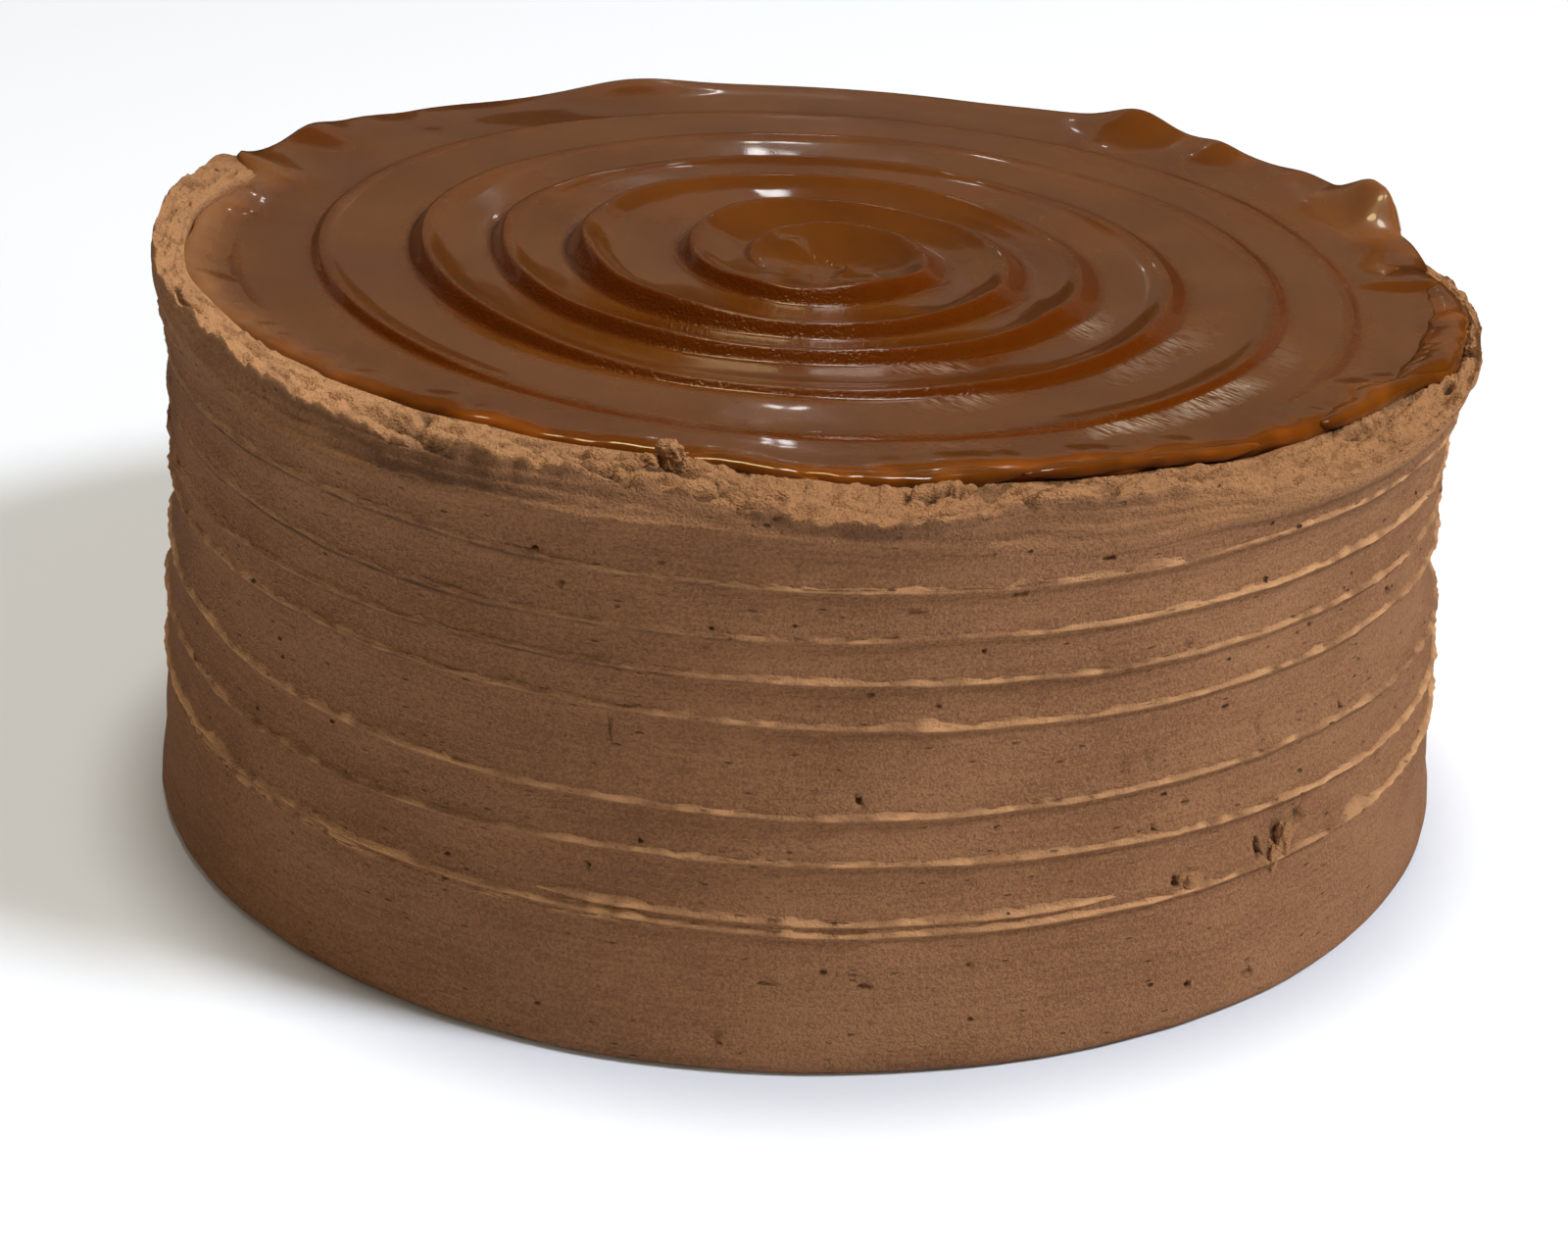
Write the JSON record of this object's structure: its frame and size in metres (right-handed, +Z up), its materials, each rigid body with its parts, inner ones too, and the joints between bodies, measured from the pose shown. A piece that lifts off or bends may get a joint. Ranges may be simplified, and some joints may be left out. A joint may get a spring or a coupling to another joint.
{
  "type": "chocolate caramel cake",
  "caption": "Round chocolate-frosted cake with spatula bands winding up its side, a torn frosting lip and a swirled pool of glossy caramel on top.",
  "frame": {"origin": "centre of the cake's flat foot, on the surface it stands on", "axes": "+Z up, -Y towards the front, +X to the right"},
  "size_m": [0.2204, 0.2196, 0.0954],
  "materials": {
    "frosting": "matte whipped chocolate frosting, smoothed with a spatula, torn and lighter at the lip",
    "caramel": "glossy dark amber caramel"
  },
  "bodies": {
    "root": {"frosted_cake": "frosting", "caramel": "caramel"}
  },
  "joints": []
}
